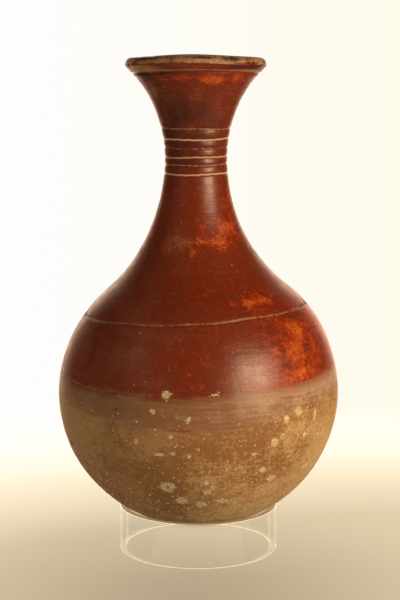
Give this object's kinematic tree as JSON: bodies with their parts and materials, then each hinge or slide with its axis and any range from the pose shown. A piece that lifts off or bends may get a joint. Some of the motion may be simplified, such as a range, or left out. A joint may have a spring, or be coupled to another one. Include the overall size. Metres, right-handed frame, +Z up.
{
  "type": "pottery vase",
  "caption": "Round-bottomed earthenware bottle vase with a trumpet mouth, a thick lip, a ringed neck and a lined shoulder, standing in a clear display ring.",
  "frame": {"origin": "centre of the display ring's underside, on the table", "axes": "+Z up along the vase, -Y towards the viewer of the picture, +X to the viewer's right"},
  "size_m": [0.1768, 0.1768, 0.3122],
  "materials": {
    "fired_clay": "satin",
    "clear_acrylic": "gloss"
  },
  "bodies": {
    "root": {"vase": "fired_clay", "display_ring": "clear_acrylic"}
  },
  "joints": []
}
